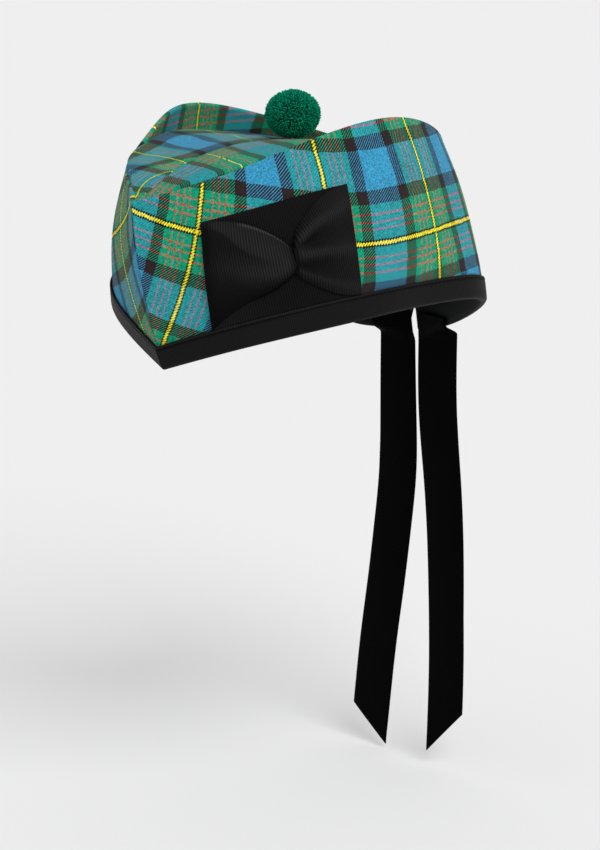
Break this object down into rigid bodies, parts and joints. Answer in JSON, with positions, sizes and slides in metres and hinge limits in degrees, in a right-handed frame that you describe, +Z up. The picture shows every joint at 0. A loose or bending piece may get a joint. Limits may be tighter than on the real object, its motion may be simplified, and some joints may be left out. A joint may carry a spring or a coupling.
{
  "type": "glengarry",
  "caption": "Tartan cloth cap creased lengthwise, with a ribbon-bound head opening, a bow on its left side, a wool ball on top and ribbon tails at the back.",
  "frame": {"origin": "middle of the head opening, level with the low front and back tips of its band", "axes": "+Z up as worn, -Y to the front, +X to the wearer's left side, which carries the bow"},
  "size_m": [0.1654, 0.2106, 0.3594],
  "materials": {
    "tartan_wool": "woven twill in a tartan check of green, blue, dark brown, yellow and red",
    "grosgrain_ribbon": "black ribbed ribbon, matt",
    "wool_pile": "cut wool pile, matt"
  },
  "bodies": {
    "root": {"side_panel_left": "tartan_wool", "side_panel_right": "tartan_wool", "crown": "tartan_wool", "binding_left": "grosgrain_ribbon", "binding_right": "grosgrain_ribbon", "bow_backing": "grosgrain_ribbon", "bow": "grosgrain_ribbon", "toorie": "wool_pile", "tail_left": "grosgrain_ribbon", "tail_right": "grosgrain_ribbon"}
  },
  "joints": []
}
